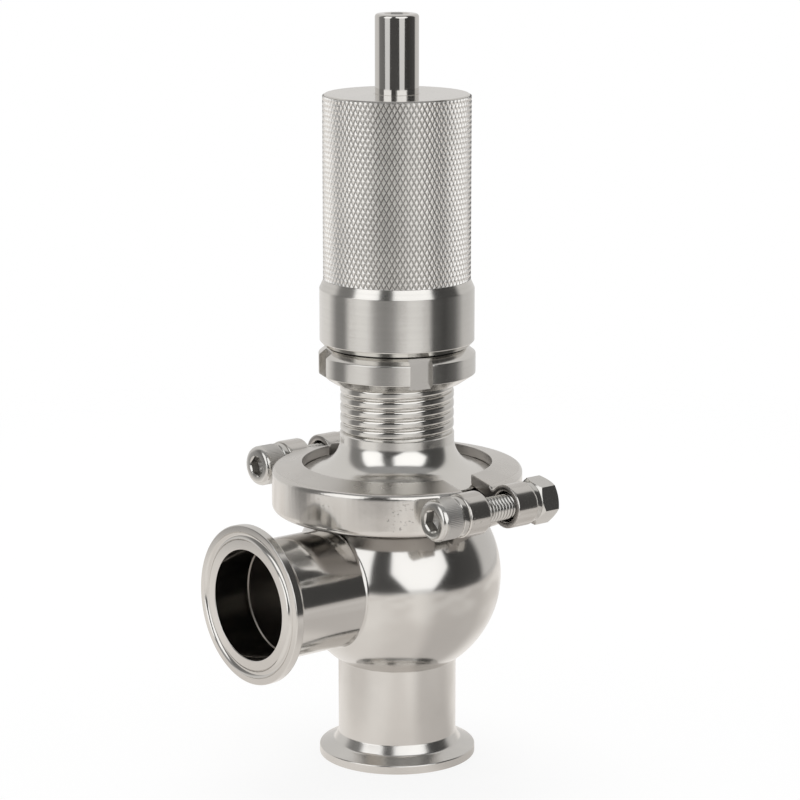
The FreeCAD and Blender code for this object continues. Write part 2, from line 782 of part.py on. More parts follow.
def valve_disc_body():
    body = new_body("valve_disc")
    seat_bore = dim("seat_bore_radius")
    revolve(body, "turned_disc", [
        (ZERO, disc_foot), (seat_bore - dim("disc_gap"), disc_foot),
        (cone_top_radius - dim("disc_gap"), disc_face), (dim("disc_radius"), disc_face),
        (dim("disc_radius"), disc_top), (dim("disc_boss_radius"), disc_top),
        (dim("disc_boss_radius"), boss_top), (dim("shank_end_radius"), boss_top),
        (dim("shank_end_radius"), tapped_foot), (ZERO, tapped_foot)])
    half = dim("wing_thickness") / 2
    wing = new_sketch(body, "wing_outline", "XY_Plane", disc_foot - dim("wing_length"))
    tip = seat_bore - dim("wing_clearance") - dim("disc_gap") / 2
    rectangle(wing, ZERO - half, tip, ZERO - half, half)
    blade = pad(body, "wing", wing, dim("wing_length"))
    pattern = body.newObject("PartDesign::PolarPattern", "three_wings")
    pattern.Originals = [blade]
    pattern.Axis = (wing, ["N_Axis"])
    pattern.Angle = 360.0
    pattern.Occurrences = 3
    body.Tip = pattern
    doc.recompute()
    ring_groove(body, "seal_groove", seal_across, seal_up, dim("disc_seal_radius"))
    return body


face_middle = dim("seat_face_width") / 2
seal_across = dim("seat_bore_radius") + face_middle - dim("disc_seal_radius")
seal_up = disc_foot + face_middle + dim("disc_seal_radius") - dim("disc_gap")
valve_disc = valve_disc_body()

disc_seal = new_body("disc_seal")
disc_seal_sketch = new_sketch(disc_seal, "section_outline", "XZ_Plane")
circle_in(disc_seal_sketch, seal_across, seal_up, dim("disc_seal_radius"))
disc_seal_ring = disc_seal.newObject("PartDesign::Revolution", "soft_ring")
disc_seal_ring.Profile = disc_seal_sketch
disc_seal_ring.ReferenceAxis = (disc_seal_sketch, ["V_Axis"])
disc_seal_ring.Angle = 360.0
doc.recompute()

disc_lock_nut = hex_nut("disc_lock_nut", dim("disc_nut_width"), dim("disc_nut_height"),
                        dim("shank_end_radius"))
raise_to(disc_lock_nut, boss_top)


# Spindle: polished stem through the lid, thinner shank below the lower spring seat, tapped top

def spindle_body():
    body = new_body("spindle")
    end = dim("shank_end_radius")
    shank = dim("shank_radius")
    step = boss_top + dim("disc_nut_height")
    stem = dim("stem_radius")
    revolve(body, "turned_rod", [
        (ZERO, tapped_foot), (end, tapped_foot), (end, step), (shank, step),
        (shank, ring_foot), (ring_bore, ring_foot), (ring_bore, bottom_seat_foot),
        (shank, bottom_seat_foot), (shank, spring_bottom), (stem, spring_bottom),
        (stem, stem_top), (ZERO, stem_top)])
    hole = new_sketch(body, "tapped_hole_outline", "XY_Plane", stem_top)
    circle_in(hole, ZERO, ZERO, dim("stem_hole_radius"))
    pocket(body, "tapped_hole", hole, dim("stem_hole_depth"))
    round_edges(body, "stem_edge", "Fillet", dim("stem_edge"), [(stem, stem_top)])
    round_edges(body, "hole_mouth", "Chamfer", dim("stem_hole_mouth"),
                [(dim("stem_hole_radius"), stem_top)])
    return body


spindle = spindle_body()


# Write each sub-part

SUB_PARTS = [
    inlet_ferrule, outlet_ferrule, top_ferrule, ball, valve_seat, bonnet, bonnet_neck, bonnet_gasket,
    clamp_half_outlet_side, clamp_half_rear, *fastener_groups, guide_bush, stem_seal, lock_nut,
    adjusting_cap, thrust_washer, spring_top_seat, spring, spring_bottom_seat, retaining_ring,
    spindle, valve_disc, disc_seal, disc_lock_nut]

doc.recompute()
failed = [item.Name for item in doc.Objects if {"Invalid", "Error"} & set(item.State)]
assert not failed, failed
for part in SUB_PARTS:
    assert not part.Shape.isNull() and part.Shape.isValid(), part.Label

os.makedirs("parts", exist_ok=True)
for part in SUB_PARTS:
    part.Shape.exportStep(f"parts/{part.Label}.step")
    print(part.Label, len(part.Shape.Solids), round(part.Shape.Volume, 1))
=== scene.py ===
import json
import math

import bmesh
import bpy
from mathutils import Matrix, Vector


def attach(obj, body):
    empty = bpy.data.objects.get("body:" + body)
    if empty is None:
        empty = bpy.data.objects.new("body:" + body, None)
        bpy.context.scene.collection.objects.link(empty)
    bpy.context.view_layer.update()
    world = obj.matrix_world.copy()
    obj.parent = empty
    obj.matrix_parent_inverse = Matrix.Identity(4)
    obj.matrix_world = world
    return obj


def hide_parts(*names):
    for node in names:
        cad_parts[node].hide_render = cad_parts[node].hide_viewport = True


# Sanitary safety valve. The scene is in metres, and sizes in millimetres are multiplied by MM.
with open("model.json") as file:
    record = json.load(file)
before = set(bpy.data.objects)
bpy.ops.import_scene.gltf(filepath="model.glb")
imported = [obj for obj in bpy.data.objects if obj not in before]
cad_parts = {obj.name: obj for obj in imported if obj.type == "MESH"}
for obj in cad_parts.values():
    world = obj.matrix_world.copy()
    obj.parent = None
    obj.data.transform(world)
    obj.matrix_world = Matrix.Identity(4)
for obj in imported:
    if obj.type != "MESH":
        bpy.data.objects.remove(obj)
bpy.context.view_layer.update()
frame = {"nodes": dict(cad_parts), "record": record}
MM = 0.001
BODIES = frame["record"]["behaviour"]["bodies"]
BODY_OF = {node: body for body, nodes in BODIES.items() for node in nodes}

# Ball, ferrules and their tubes
CENTRE_Z = 59.8
BALL_RADIUS, BALL_INSIDE = 33.5, 31.0
TUBE_RADIUS, TUBE_BORE = 19.05, 17.55
TOP_TUBE_RADIUS = 25.4
FERRULE_RADIUS, FERRULE_LENGTH = 25.25, 36.0
FERRULE_NECK = TUBE_RADIUS + 1.6
RIM_DEPTH, RIM_SLOPE = 2.85, 0.364
GROOVE_AT, GROOVE_RADIUS, GROOVE_LIFT = 21.9, 1.45, 0.55
BORE_WELD_Z = 12.9

# Bonnet, neck and thread
JOINT_FACE_Z, JOINT_RADIUS = 90.55, 32.0
JOINT_RIM_Z = JOINT_FACE_Z + RIM_DEPTH
BUSH_RADIUS, WEB_TOP_Z = 10.0, 97.6
FLARE_RADIUS = 9.0
NECK_RADIUS, NECK_BORE = 18.25, 13.35
NECK_FOOT_Z, NECK_TOP_Z = 107.2, 166.0
HIDDEN_THREAD_Z = 127.0
THREAD_ROOT, THREAD_CREST, THREAD_PITCH = 17.4, 18.15, 3.2

# Clamp and its screws. The half gaps are those of the screws at -Y and +Y.
BOLT_Y, BOLT_Z = 46.0, 90.0
HALF_GAPS = (5.5, 3.8)
BARREL, WASHER, HEAD = 8.2, 2.1, 8.0
CHANNEL_RADIUS = 36.8
VOXEL = 0.32
PITTED_SPOT = (-23.9, -32.1, 88.0)

# Lock nut, cap and spindle
NUT_RADIUS, NUT_BORE = 25.0, 18.2
NUT_LOW_Z, NUT_HIGH_Z = 123.6, 135.1
SLOT_FLOOR, SLOT_HALF, SLOT_TURN, SLOTS = 22.4, 3.7, 69, 4
CAP_LOW_Z, CAP_HIGH_Z = 135.4, 214.9
BAND_RADIUS, BAND_TOP_Z = 24.6, 153.6
KNURL_LOW_Z, KNURL_HIGH_Z = 156.6, 214.45
KNURL_VALLEY, KNURL_CREST = 22.8, 23.38
STEM_RADIUS, JOURNAL_RADIUS, STEM_TOP_Z = 6.9, 6.0, 239.8
TAPPING_RADIUS = 3.4

CAMERA_TURN = -39.14


# Node graphs

class Graph:
    """Builds shader nodes with short calls. A value is a socket or a number."""

    def __init__(self, tree):
        self.tree = tree
        tree.nodes.clear()

    def node(self, kind, **settings):
        made = self.tree.nodes.new(kind)
        for key, value in settings.items():
            setattr(made, key, value)
        return made

    def feed(self, socket, value):
        if isinstance(value, bpy.types.NodeSocket):
            self.tree.links.new(value, socket)
        else:
            socket.default_value = value

    def math(self, operation, *values):
        made = self.node("ShaderNodeMath", operation=operation)
        for socket, value in zip(made.inputs, values):
            self.feed(socket, value)
        return made.outputs[0]

    def step(self, value, low, high):
        """0 below low, 1 above high, smooth between."""
        made = self.node("ShaderNodeMapRange", interpolation_type="SMOOTHSTEP")
        for name, number in (("Value", value), ("From Min", low), ("From Max", high)):
            self.feed(made.inputs[name], number)
        return made.outputs["Result"]

    def spread(self, value, low, high):
        """Maps 0 to 1 onto low to high."""
        made = self.node("ShaderNodeMapRange")
        for name, number in (("Value", value), ("To Min", low), ("To Max", high)):
            self.feed(made.inputs[name], number)
        return made.outputs["Result"]

    def mix(self, share, first, second):
        made = self.node("ShaderNodeMix", data_type="RGBA")
        self.feed(made.inputs[0], share)
        self.feed(made.inputs[6], first)
        self.feed(made.inputs[7], second)
        return made.outputs[2]

    def noise(self, scale, detail=2.0, vector=None, rough=0.5, w=None):
        made = self.node("ShaderNodeTexNoise", noise_dimensions="1D" if w is not None else "3D")
        if w is not None:
            self.feed(made.inputs["W"], w)
        elif vector is not None:
            self.feed(made.inputs["Vector"], vector)
        self.feed(made.inputs["Scale"], scale)
        self.feed(made.inputs["Detail"], detail)
        self.feed(made.inputs["Roughness"], rough)
        return made.outputs[0]

    def levels(self, degrees, stops):
        """Grey level by an angle of -180 to 180 degrees, straight between the stops."""
        made = self.node("ShaderNodeValToRGB")
        ramp = made.color_ramp
        ramp.interpolation = "LINEAR"
        while len(ramp.elements) < len(stops):
            ramp.elements.new(0.5)
        for element, (angle, level) in zip(ramp.elements, stops):
            element.position = (angle + 180) / 360
            element.color = grey(level, 0.02)
        self.feed(made.inputs[0], self.math("DIVIDE", self.math("ADD", degrees, 180.0), 360.0))
        return made.outputs[0]

    def bump(self, height, distance, normal=None):
        made = self.node("ShaderNodeBump")
        self.feed(made.inputs["Height"], height)
        self.feed(made.inputs["Distance"], distance)
        if normal is not None:
            self.feed(made.inputs["Normal"], normal)
        return made.outputs[0]


def grey(level, warm=0.0):
    """A grey colour. warm: how far red is over green and blue under it."""
    return (level * (1 + warm), level, level * (1 - warm), 1.0)


def darker(colour, share):
    return tuple(c * share for c in colour[:3]) + (1.0,)


def distance_from_axis(g, across, up):
    return g.math("SQRT", g.math("ADD", g.math("MULTIPLY", across, across), g.math("MULTIPLY", up, up)))


def object_axes(g):
    """The surface point in metres, its X, Y and Z, and its distance from the spindle's axis."""
    spot = g.node("ShaderNodeTexCoord").outputs["Object"]
    split = g.node("ShaderNodeSeparateXYZ")
    g.feed(split.inputs[0], spot)
    x, y, z = split.outputs
    return spot, x, y, z, distance_from_axis(g, x, y)


def camera_offset(g, x, y):
    """Azimuth in degrees: 0 toward the camera's side, positive on the picture's right."""
    azimuth = g.math("DEGREES", g.math("ARCTAN2", y, x))
    return g.math("WRAP", g.math("SUBTRACT", azimuth, CAMERA_TURN - 90.0), 180.0, -180.0)


def pitted(g, spot, depth, colour, tint, normal):
    """Casting pits: dense about one spot, and otherwise only in rare patches."""
    cells = g.noise(900.0, 2.0, spot, 0.6)
    away = g.node("ShaderNodeVectorMath", operation="DISTANCE")
    g.feed(away.inputs[0], spot)
    away.inputs[1].default_value = [c * MM for c in PITTED_SPOT]
    smooth_patch = g.math("MULTIPLY", g.step(g.noise(70.0, 1.0, spot), 0.66, 0.60),
                          g.step(away.outputs["Value"], 3.5 * MM, 6.5 * MM))
    sound = g.math("MAXIMUM", g.step(cells, 0.31, 0.38), smooth_patch)
    normal = g.bump(sound, depth * MM, normal)
    normal = g.bump(g.noise(320.0, 3.0, spot), depth * 0.8 * MM, normal)
    return g.mix(sound, darker(colour, 0.68), tint), normal


def steel(name, colour, rough, wave, wave_scale, stain, lines=0.0, pits=0.0, valley=None, about_screws=False):
    """Bare steel. wave: slow waviness, lines: turning marks, pits: casting pits, all in millimetres.
    valley: the radii between which grooves turn from painted shade to the bare colour, about the spindle or
    the screws."""
    material = bpy.data.materials.new(name)
    material.use_nodes = True
    g = Graph(material.node_tree)
    spot, x, y, z, around = object_axes(g)
    shader = g.node("ShaderNodeBsdfPrincipled")
    output = g.node("ShaderNodeOutputMaterial")
    g.feed(output.inputs["Surface"], shader.outputs[0])
    g.feed(shader.inputs["Metallic"], 1.0)
    tint = g.mix(g.step(g.noise(45.0, 3.0, spot), 0.35, 0.7), colour, darker(colour, 1 - stain))
    roughness = g.spread(g.noise(140.0, 3.0, spot), rough * 0.8, rough * 1.25)
    normal = g.bump(g.noise(wave_scale, 1.5, spot), wave * MM)
    if lines:
        track = g.math("MULTIPLY", g.math("ADD", z, around), 1 / MM)
        fine = g.noise(6.0, 2.0, w=track)
        normal = g.bump(fine, lines * MM, normal)
        coarse = g.noise(1.3, 2.0, w=track)
        tint = g.mix(g.math("MULTIPLY", g.step(coarse, 0.3, 0.8), 0.25), tint, darker(colour, 0.82))
        roughness = g.math("ADD", roughness, g.spread(fine, -0.03, 0.05))
    if pits:
        tint, normal = pitted(g, spot, pits, colour, tint, normal)
    if about_screws:
        side = g.math("SUBTRACT", g.math("ABSOLUTE", y), BOLT_Y * MM)
        around = distance_from_axis(g, side, g.math("SUBTRACT", z, BOLT_Z * MM))
    # Painted shade: the base colour turns darker in the grooves, below the valley radii.
    if valley:
        shade = g.step(around, valley[0] * MM, valley[1] * MM)
        if about_screws:
            shade = g.math("MAXIMUM", shade, g.math("LESS_THAN", x, -(HALF_GAPS[1] + BARREL) * MM))
        tint = g.mix(shade, darker(colour, 0.3), tint)
    g.feed(shader.inputs["Base Color"], tint)
    g.feed(shader.inputs["Roughness"], roughness)
    g.feed(shader.inputs["Normal"], normal)
    return material


def plastic(name, colour, rough, grain):
    """Rubber or plastic with a fine grain, its height in millimetres."""
    material = bpy.data.materials.new(name)
    material.use_nodes = True
    g = Graph(material.node_tree)
    spot = g.node("ShaderNodeTexCoord").outputs["Object"]
    shader = g.node("ShaderNodeBsdfPrincipled")
    output = g.node("ShaderNodeOutputMaterial")
    g.feed(output.inputs["Surface"], shader.outputs[0])
    speck = g.noise(700.0, 3.0, spot)
    g.feed(shader.inputs["Base Color"], g.mix(speck, colour, darker(colour, 0.86)))
    g.feed(shader.inputs["Roughness"], g.spread(g.noise(260.0, 2.0, spot), rough - 0.07, rough + 0.07))
    g.feed(shader.inputs["Normal"], g.bump(speck, grain * MM))
    return material


POLISHED = steel("polished_stem", (0.66, 0.645, 0.62, 1.0), 0.07, wave=0.004, wave_scale=90.0, stain=0.02)
MIRROR = steel("mirror_polish", (0.68, 0.665, 0.64, 1.0), 0.13, wave=0.018, wave_scale=36.0, stain=0.06)
FLARE = steel("flare_polish", (0.75, 0.735, 0.705, 1.0), 0.18, wave=0.004, wave_scale=60.0, stain=0.03)
MIRROR_X = steel("mirror_polish_outlet", (0.68, 0.665, 0.64, 1.0), 0.13, wave=0.015, wave_scale=50.0,
                 stain=0.04)
TURNED = steel("fine_turned", (0.71, 0.695, 0.665, 1.0), 0.15, wave=0.005, wave_scale=120.0, lines=0.005,
               stain=0.06)
THREAD = steel("rolled_thread", (0.70, 0.685, 0.655, 1.0), 0.08, wave=0.006, wave_scale=260.0, stain=0.06)
BRUSHED = steel("brushed_tube", (0.70, 0.685, 0.66, 1.0), 0.20, wave=0.012, wave_scale=45.0, stain=0.09)
TUBE_INSIDE = steel("tube_inside", (0.30, 0.275, 0.25, 1.0), 0.34, wave=0.01, wave_scale=60.0, stain=0.3)
# The knurl's grooves get painted shade in their colour.
KNURLED = steel("knurl_steel", (0.86, 0.845, 0.82, 1.0), 0.36, wave=0.003, wave_scale=500.0, stain=0.06,
                valley=(KNURL_VALLEY, 23.1))
CAST = steel("cast_polish", (0.70, 0.68, 0.65, 1.0), 0.15, wave=0.02, wave_scale=130.0, pits=0.012,
             stain=0.08)
# Rougher cast finish; its darker colour is painted shade for the clamp's channel, foot and split faces.
ROUGH_CAST_PAINTED_SHADE = steel("rough_cast_painted_shade", (0.45, 0.43, 0.41, 1.0), 0.30, wave=0.03, wave_scale=160.0, stain=0.12)
# Rougher turned top of the casting, a little darker in colour: the darker tone is painted shade.
CAST_TOP_PAINTED_SHADE = steel("cast_turned_top_painted_shade", (0.65, 0.63, 0.60, 1.0), 0.28, wave=0.004, wave_scale=60.0, stain=0.08)
MILLED = steel("milled_slot", (0.56, 0.545, 0.52, 1.0), 0.20, wave=0.006, wave_scale=200.0, lines=0.006,
               stain=0.15)
BROACHED = steel("broached_socket", (0.50, 0.49, 0.47, 1.0), 0.34, wave=0.004, wave_scale=500.0, stain=0.1)
HEAD_KNURL = steel("knurled_head", (0.66, 0.65, 0.63, 1.0), 0.38, wave=0.004, wave_scale=500.0, stain=0.1)
FASTENER = steel("fastener_steel", (0.68, 0.67, 0.645, 1.0), 0.16, wave=0.004, wave_scale=400.0, stain=0.1)
# The thread's grooves get painted shade in their colour; the head is left out.
SCREW = steel("screw_steel", (0.68, 0.67, 0.645, 1.0), 0.16, wave=0.004, wave_scale=400.0, stain=0.1,
              valley=(3.3, 3.85), about_screws=True)
SPRING = steel("spring_wire", (0.52, 0.52, 0.52, 1.0), 0.28, wave=0.004, wave_scale=600.0, stain=0.1)
RUBBER = plastic("seal_rubber", (0.03, 0.03, 0.032, 1.0), 0.55, 0.01)
BEARING = plastic("bearing_ptfe", (0.80, 0.79, 0.76, 1.0), 0.45, 0.008)


# Meshes

FILLET_STEPS = 7


def fillet(points, closed=True):
    """Replaces each corner (r, z, radius) by an arc. Corners with no radius stay sharp."""
    out = []
    count = len(points)
    for i, (r, z, radius) in enumerate(points):
        here = Vector((r, z))
        if radius <= 0 or (not closed and i in (0, count - 1)):
            out.append(here)
            continue
        back = Vector(points[i - 1][:2]) - here
        ahead = Vector(points[(i + 1) % count][:2]) - here
        half = back.angle(ahead) / 2
        reach = min(radius / math.tan(half), back.length * 0.49, ahead.length * 0.49)
        true_radius = reach * math.tan(half)
        start, end = here + back.normalized() * reach, here + ahead.normalized() * reach
        inward = (back.normalized() + ahead.normalized()).normalized()
        middle = here + inward * (true_radius / math.sin(half))
        first = math.atan2(start.y - middle.y, start.x - middle.x)
        turn = math.atan2(end.y - middle.y, end.x - middle.x) - first
        turn = (turn + math.pi) % (2 * math.pi) - math.pi
        for k in range(FILLET_STEPS + 1):
            angle = first + turn * k / FILLET_STEPS
            out.append(middle + Vector((math.cos(angle), math.sin(angle))) * true_radius)
    return [tuple(point) for point in out]


def arc(centre, radius, start, end, count):
    """Points of a circle in the (r, z) plane, angles in degrees."""
    return [(centre[0] + radius * math.cos(math.radians(start + (end - start) * k / count)),
             centre[1] + radius * math.sin(math.radians(start + (end - start) * k / count)))
            for k in range(count + 1)]


def new_object(name, mesh, material, smooth=True):
    piece = bpy.data.objects.new(name, mesh)
    bpy.context.scene.collection.objects.link(piece)
    if material is not None:
        mesh.materials.append(material)
    for polygon in mesh.polygons:
        polygon.use_smooth = smooth
    return piece


def from_bmesh(name, bm, material, smooth=True):
    bmesh.ops.recalc_face_normals(bm, faces=bm.faces)
    mesh = bpy.data.meshes.new(name)
    bm.to_mesh(mesh)
    bm.free()
    return new_object(name, mesh, material, smooth)


def polar(radius, angle, z):
    """A point in metres from a radius and height in millimetres."""
    return (radius * MM * math.cos(angle), radius * MM * math.sin(angle), z * MM)


def circle(bm, radius, z, steps):
    return [bm.verts.new(polar(radius, 2 * math.pi * k / steps, z)) for k in range(steps)]


def bridge(bm, rings):
    """Quads from each ring to the next. A ring of one vertex is a pole and gets triangles."""
    steps = max(len(ring) for ring in rings)
    for lower, upper in zip(rings, rings[1:]):
        for k in range(steps):
            n = (k + 1) % steps
            corners = [lower[k % len(lower)], lower[n % len(lower)]]
            corners += [upper[n % len(upper)], upper[k % len(upper)]]
            unique = list(dict.fromkeys(corners))
            if len(unique) > 2:
                bm.faces.new(unique)


def lathe(name, outline, material, steps=192, closed=True):
    """Turns an (r, z) outline in millimetres about Z."""
    bm = bmesh.new()
    rings = [circle(bm, r, z, steps) if r > 0 else [bm.verts.new((0, 0, z * MM))] for r, z in outline]
    bridge(bm, rings + rings[:1] if closed else rings)
    return from_bmesh(name, bm, material)


def mark_sharp(edges, angle):
    for edge in edges:
        edge.smooth = edge.is_boundary or edge.calc_face_angle(0.0) < math.radians(angle)


def weigh_normals(piece, angle=35.0):
    """Smooth shading that keeps flat faces flat. Edges over the angle, if one is given, turn sharp."""
    if angle is not None:
        mesh = piece.data
        bm = bmesh.new()
        bm.from_mesh(mesh)
        mark_sharp(bm.edges, angle)
        bm.to_mesh(mesh)
        bm.free()
    weighted = piece.modifiers.new("weighted_normals", "WEIGHTED_NORMAL")
    weighted.keep_sharp = True
    weighted.weight = 50
    return piece


def apply_modifiers(piece):
    """Keeps the shape that the modifiers make as the piece's own mesh."""
    bpy.context.view_layer.update()
    made = bpy.data.meshes.new_from_object(
        piece.evaluated_get(bpy.context.evaluated_depsgraph_get()))
    piece.modifiers.clear()
    piece.data = made
    return piece


def cut(piece, tools):
    """Boolean difference with closed tool meshes, which are then removed."""
    for tool in tools:
        boolean = piece.modifiers.new("cut", "BOOLEAN")
        boolean.operation = "DIFFERENCE"
        boolean.solver = "MANIFOLD"
        boolean.object = tool
    apply_modifiers(piece)
    for tool in tools:
        bpy.data.objects.remove(tool)
    return piece


def box(name, low, high):
    bm = bmesh.new()
    bmesh.ops.create_cube(bm, size=1.0)
    size = [end - start for start, end in zip(low, high)]
    for vert in bm.verts:
        vert.co = Vector([(start + side * (c + 0.5)) * MM for start, side, c in zip(low, size, vert.co)])
    return from_bmesh(name, bm, None, False)


def bevel(piece, width, segments, angle):
    made = piece.modifiers.new("bevel", "BEVEL")
    made.width = width * MM
    made.segments = segments
    made.limit_method = "ANGLE"
    made.angle_limit = math.radians(angle)
    return apply_modifiers(piece)


def place(piece, body, slot, *replaced):
    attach(piece, body)
    if replaced:
        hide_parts(*replaced)
    return piece


def transform(piece, matrix):
    piece.data.transform(matrix)
    return piece


TO_OUTLET = Matrix.Translation((-CENTRE_Z * MM, 0, CENTRE_Z * MM)) @ Matrix.Rotation(math.radians(90), 4, "Y")
UPSIDE_DOWN = Matrix.Translation((0, 0, 2 * CENTRE_Z * MM)) @ Matrix.Rotation(math.pi, 4, "X")


# Ferrules

def ferrule_outline():
    """A clamp ferrule with the tube that it is welded to. The weld shows as a shallow ring in the bore."""
    slope_end = RIM_DEPTH + (FERRULE_RADIUS - FERRULE_NECK) * RIM_SLOPE
    groove_half = (GROOVE_RADIUS ** 2 - GROOVE_LIFT ** 2) ** 0.5
    groove_start = math.degrees(math.asin(GROOVE_LIFT / GROOVE_RADIUS))
    groove = arc((GROOVE_AT, -GROOVE_LIFT), GROOVE_RADIUS, 180 - groove_start, groove_start, 12)
    weld = [(TUBE_BORE, BORE_WELD_Z + 1.4), (TUBE_BORE - 0.12, BORE_WELD_Z + 1.1),
            (TUBE_BORE - 0.12, BORE_WELD_Z + 0.4), (TUBE_BORE + 0.25, BORE_WELD_Z + 0.05),
            (TUBE_BORE + 0.25, BORE_WELD_Z - 0.05), (TUBE_BORE, BORE_WELD_Z - 0.3)]
    head = fillet([(TUBE_BORE, BORE_WELD_Z - 1.0, 0), (TUBE_BORE, 0, 0.25),
                   (GROOVE_AT - groove_half - 0.25, 0, 0), (GROOVE_AT - groove_half, 0.02, 0)], closed=False)
    tail = fillet([(GROOVE_AT + groove_half, 0.02, 0), (GROOVE_AT + groove_half + 0.25, 0, 0),
                   (FERRULE_RADIUS, 0, 0.4), (FERRULE_RADIUS, RIM_DEPTH, 0.55),
                   (FERRULE_NECK, slope_end, 1.4), (TUBE_RADIUS, slope_end + 3.0, 1.2),
                   (TUBE_RADIUS, FERRULE_LENGTH, 0.1), (TUBE_BORE, FERRULE_LENGTH, 0.1),
                   (TUBE_BORE, FERRULE_LENGTH * 0.5, 0)], closed=False)
    return weld + head[:-1] + groove + tail[1:-1]


def ferrule(name, material):
    """Behind the weld the bore is rougher than the ferrule and much darker in colour."""
    piece = lathe(name, ferrule_outline(), material)
    piece.data.materials.append(TUBE_INSIDE)
    for polygon in piece.data.polygons:
        x, y, z = polygon.center / MM
        if z > BORE_WELD_Z and math.hypot(x, y) < TUBE_BORE + 0.3:
            polygon.material_index = 1
    return piece


inlet = weigh_normals(ferrule("inlet_ferrule_turned", BRUSHED))
place(inlet, "valve_body", "turned_steel", "inlet_ferrule")

outlet = weigh_normals(transform(ferrule("outlet_ferrule_polished", MIRROR_X), TO_OUTLET))
place(outlet, "valve_body", "mirror_steel", "outlet_ferrule")


# Ball

def ball_shell():
    """A sphere's shell, cut for the three tubes, with the sphere's own normals."""
    def latitude(opening, radius):
        return math.degrees(math.acos(opening / radius))

    outside = arc((0, CENTRE_Z), BALL_RADIUS, -latitude(TUBE_RADIUS, BALL_RADIUS),
                  latitude(TOP_TUBE_RADIUS, BALL_RADIUS), 110)
    inside = arc((0, CENTRE_Z), BALL_INSIDE, latitude(TOP_TUBE_RADIUS, BALL_INSIDE),
                 -latitude(TUBE_RADIUS, BALL_INSIDE), 60)
    shell = lathe("ball_shell", outside + inside, MIRROR, 256)
    plug = [(0, 0), (TUBE_RADIUS, 0), (TUBE_RADIUS, 50), (0, 50)]
    cut(shell, [transform(lathe("ball_cutter", plug, None, 256, closed=False), TO_OUTLET)])
    mesh = shell.data
    centre = Vector((0, 0, CENTRE_Z * MM))
    normals = [Vector((0, 0, 1))] * len(mesh.loops)
    for polygon in mesh.polygons:
        polygon.use_smooth = True
        reach = (polygon.center - centre).length / MM
        side = 1 if reach > BALL_RADIUS - 0.2 else (-1 if abs(reach - BALL_INSIDE) < 0.15 else 0)
        for index in polygon.loop_indices:
            out = (mesh.vertices[mesh.loops[index].vertex_index].co - centre).normalized()
            normals[index] = out * side if side else polygon.normal.copy()
    mesh.normals_split_custom_set(normals)
    return shell


place(ball_shell(), "valve_body", "mirror_steel", "ball_body")


def seam_fillet(name, matrix, size, tube=TUBE_RADIUS):
    """Polished weld: a hollow fillet between a tube and the ball, about the tube's own axis."""
    across = tube + size
    centre = Vector((across, -((BALL_RADIUS + size) ** 2 - across ** 2) ** 0.5))
    on_ball = centre.normalized() * BALL_RADIUS
    first = math.degrees(math.atan2(on_ball.y - centre.y, on_ball.x - centre.x))
    points = arc(centre, size, first, 180.0, 14)
    points += [(tube - 0.3, points[-1][1]), (on_ball.x - 0.6, on_ball.y + 0.6)]
    ring = lathe(name, [(r, CENTRE_Z + z) for r, z in points], MIRROR, 256)
    weigh_normals(transform(ring, matrix), 60)
    place(ring, "valve_body", "mirror_steel")


seam_fillet("seam_inlet", Matrix.Identity(4), 0.5)
seam_fillet("seam_outlet", TO_OUTLET, 1.7)
seam_fillet("seam_top", UPSIDE_DOWN, 0.9, TOP_TUBE_RADIUS)


# Bonnet flare and threaded neck

def bonnet_outline():
    """The flange's slope runs into a hollow flare, which ends in a short plain neck under the thread."""
    tilt = math.atan(RIM_SLOPE)
    slope_end = NECK_RADIUS + FLARE_RADIUS * (1 - math.sin(tilt))
    slope_z = JOINT_RIM_Z + (JOINT_RADIUS - slope_end) * RIM_SLOPE
    centre = (NECK_RADIUS + FLARE_RADIUS, slope_z + FLARE_RADIUS * math.cos(tilt))
    flange = fillet([(NECK_BORE, WEB_TOP_Z + 2.4, 0), (NECK_BORE, WEB_TOP_Z, 0.3),
                     (BUSH_RADIUS, WEB_TOP_Z, 0.1), (BUSH_RADIUS, JOINT_FACE_Z, 0.1),
                     (JOINT_RADIUS, JOINT_FACE_Z, 0.4), (JOINT_RADIUS, JOINT_RIM_Z, 0.5),
                     (slope_end, slope_z, 0)], closed=False)
    flare = arc(centre, FLARE_RADIUS, 270 - math.degrees(tilt), 180.0, 40)
    return flange[:-1] + flare + [(NECK_RADIUS, NECK_FOOT_Z - 0.3), (NECK_RADIUS - 0.3, NECK_FOOT_Z),
                                  (NECK_BORE, NECK_FOOT_Z)]


bonnet = weigh_normals(lathe("bonnet_flare", bonnet_outline(), FLARE, 256))
place(bonnet, "valve_body", "mirror_steel", "bonnet")


def thread_height(phase):
    """Height of the thread over its root for a phase of 0 to 1: a wide rounded crest, a narrow groove."""
    phase = phase % 1.0
    share = abs(phase - 0.5) * 2
    if share < 0.62:
        return 1.0 - 0.12 * (share / 0.62) ** 4
    return 0.88 * (0.5 + 0.5 * math.cos(math.pi * min(1.0, (share - 0.62) / 0.30)))


